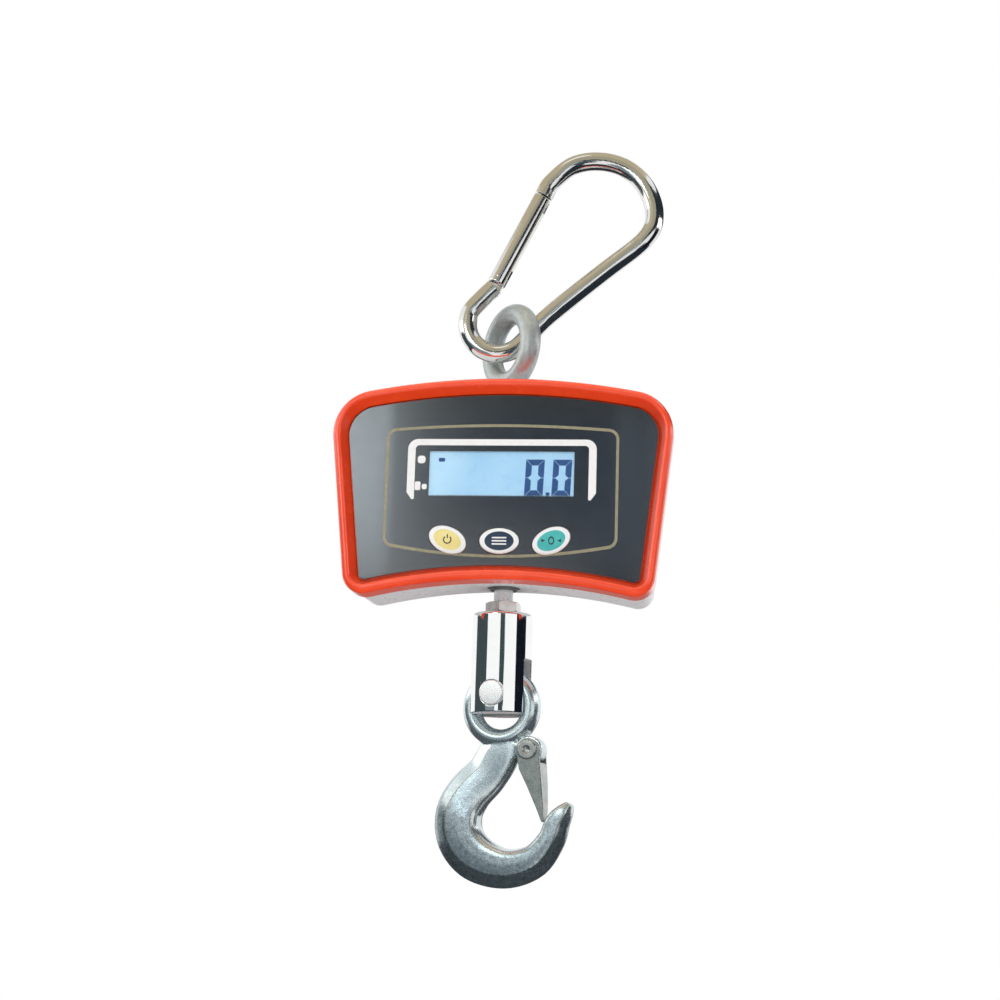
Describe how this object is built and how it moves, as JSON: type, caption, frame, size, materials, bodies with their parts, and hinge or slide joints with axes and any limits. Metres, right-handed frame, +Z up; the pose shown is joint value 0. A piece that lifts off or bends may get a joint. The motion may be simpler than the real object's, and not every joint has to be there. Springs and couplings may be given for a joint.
{
  "type": "hanging digital scale",
  "caption": "Hanging digital scale with a snap hook on a swinging eye, a moulded housing with lit display and press keys, and a latched load hook on a swivel clevis.",
  "frame": {"origin": "inside of the snap hook's wide bend, where the scale is hung", "axes": "+Z up along the load axis, -Y towards the display side, +X to the right of the display"},
  "size_m": [0.1387, 0.051, 0.311],
  "materials": {
    "snap_hook_chrome": "polished plated steel",
    "snap_hook_pins": "plain steel",
    "eye_cast": "matte cast and plated",
    "grommet_rubber": "matte",
    "bush_plastic": "matte",
    "bezel_red": "glossy moulded",
    "panel_slate": "satin overlay",
    "window_clear": "clear",
    "lcd_face": "lit display",
    "board_green": "solder mask",
    "switch_black": "matte",
    "key_yellow": "satin",
    "key_navy": "satin",
    "key_teal": "satin",
    "screw_steel": "plated",
    "rear_silver": "glossy moulded",
    "load_cell_aluminium": "machined",
    "gauge_white": "potting",
    "thread_steel": "plated",
    "cell_wrap": "wrapped cell",
    "contact_brass": "plated",
    "clevis_chrome": "polished",
    "washer_brass": "turned",
    "pin_steel": "turned",
    "clip_steel": "dark spring steel",
    "hook_zinc": "forged, zinc plated",
    "latch_zinc": "zinc plated sheet"
  },
  "bodies": {
    "carabiner": {"carabiner_body": "snap_hook_chrome", "gate_pivot_pin": "snap_hook_pins"},
    "gate": {"carabiner_gate": "snap_hook_chrome", "gate_latch_pin": "snap_hook_pins"},
    "scale_body": {"eye_bolt": "eye_cast", "top_grommet": "grommet_rubber", "front_bezel": "bezel_red", "front_panel": "panel_slate", "display_window": "window_clear", "lcd_module": "lcd_face", "circuit_board": "board_green", "switch_left": "switch_black", "switch_middle": "switch_black", "switch_right": "switch_black", "pcb_screw_1": "screw_steel", "pcb_screw_2": "screw_steel", "pcb_screw_3": "screw_steel", "pcb_screw_4": "screw_steel", "rear_housing": "rear_silver", "load_cell": "load_cell_aluminium", "gauge_cover": "gauge_white", "eye_lock_nut": "thread_steel", "stud_lock_nut": "thread_steel", "load_stud": "thread_steel", "stud_nut": "thread_steel", "swivel_nut": "thread_steel", "lower_bush": "bush_plastic", "battery_1": "cell_wrap", "battery_2": "cell_wrap", "battery_3": "cell_wrap", "contact_left": "contact_brass", "contact_right": "contact_brass", "case_screw_1": "screw_steel", "case_screw_2": "screw_steel", "case_screw_3": "screw_steel", "case_screw_4": "screw_steel"},
    "key_left": {"key_left": "key_yellow"},
    "key_middle": {"key_middle": "key_navy"},
    "key_right": {"key_right": "key_teal"},
    "battery_cover": {"battery_door": "rear_silver"},
    "clevis": {"clevis": "clevis_chrome", "thrust_washer": "washer_brass", "clevis_pin": "pin_steel", "pin_clip": "clip_steel"},
    "hook": {"hook": "hook_zinc", "latch_rivet": "latch_zinc"},
    "latch": {"safety_latch": "latch_zinc"}
  },
  "joints": [
    {"name": "gate_hinge", "type": "hinge", "parent": "carabiner", "child": "gate", "pos_m": [-0.0543, 0, -0.0434], "axis": [0, 1, 0], "range_deg": [0, 25], "stiffness_Nm_per_rad": 0.2, "springref_deg": -20.05},
    {"name": "eye_swing", "type": "hinge", "parent": "carabiner", "child": "scale_body", "pos_m": [-0.0484, 0, -0.0601], "axis": [0, -1, 0], "range_deg": [-75, 45]},
    {"name": "key_left_press", "type": "slide", "parent": "scale_body", "child": "key_left", "axis": [0, 1, 0], "range_m": [0, 0.0006], "stiffness_N_per_m": 1500, "springref_m": -0.0003},
    {"name": "key_middle_press", "type": "slide", "parent": "scale_body", "child": "key_middle", "axis": [0, 1, 0], "range_m": [0, 0.0006], "stiffness_N_per_m": 1500, "springref_m": -0.0003},
    {"name": "key_right_press", "type": "slide", "parent": "scale_body", "child": "key_right", "axis": [0, 1, 0], "range_m": [0, 0.0006], "stiffness_N_per_m": 1500, "springref_m": -0.0003},
    {"name": "battery_door_slide", "type": "slide", "parent": "scale_body", "child": "battery_cover", "axis": [0, 1, 0], "range_m": [0, 0.018]},
    {"name": "clevis_swivel", "type": "hinge", "parent": "scale_body", "child": "clevis", "pos_m": [-0.0484, 0, -0.1884], "axis": [0, 0, 1], "continuous": true},
    {"name": "hook_swing", "type": "hinge", "parent": "clevis", "child": "hook", "pos_m": [-0.0484, 0, -0.2216], "axis": [-0.2079, -0.9781, 0], "range_deg": [-60, 60]},
    {"name": "latch_hinge", "type": "hinge", "parent": "hook", "child": "latch", "pos_m": [-0.035, -0.00285, -0.2438], "axis": [0.2079, 0.9781, 0], "range_deg": [0, 35], "stiffness_Nm_per_rad": 0.05, "springref_deg": -22.92}
  ]
}
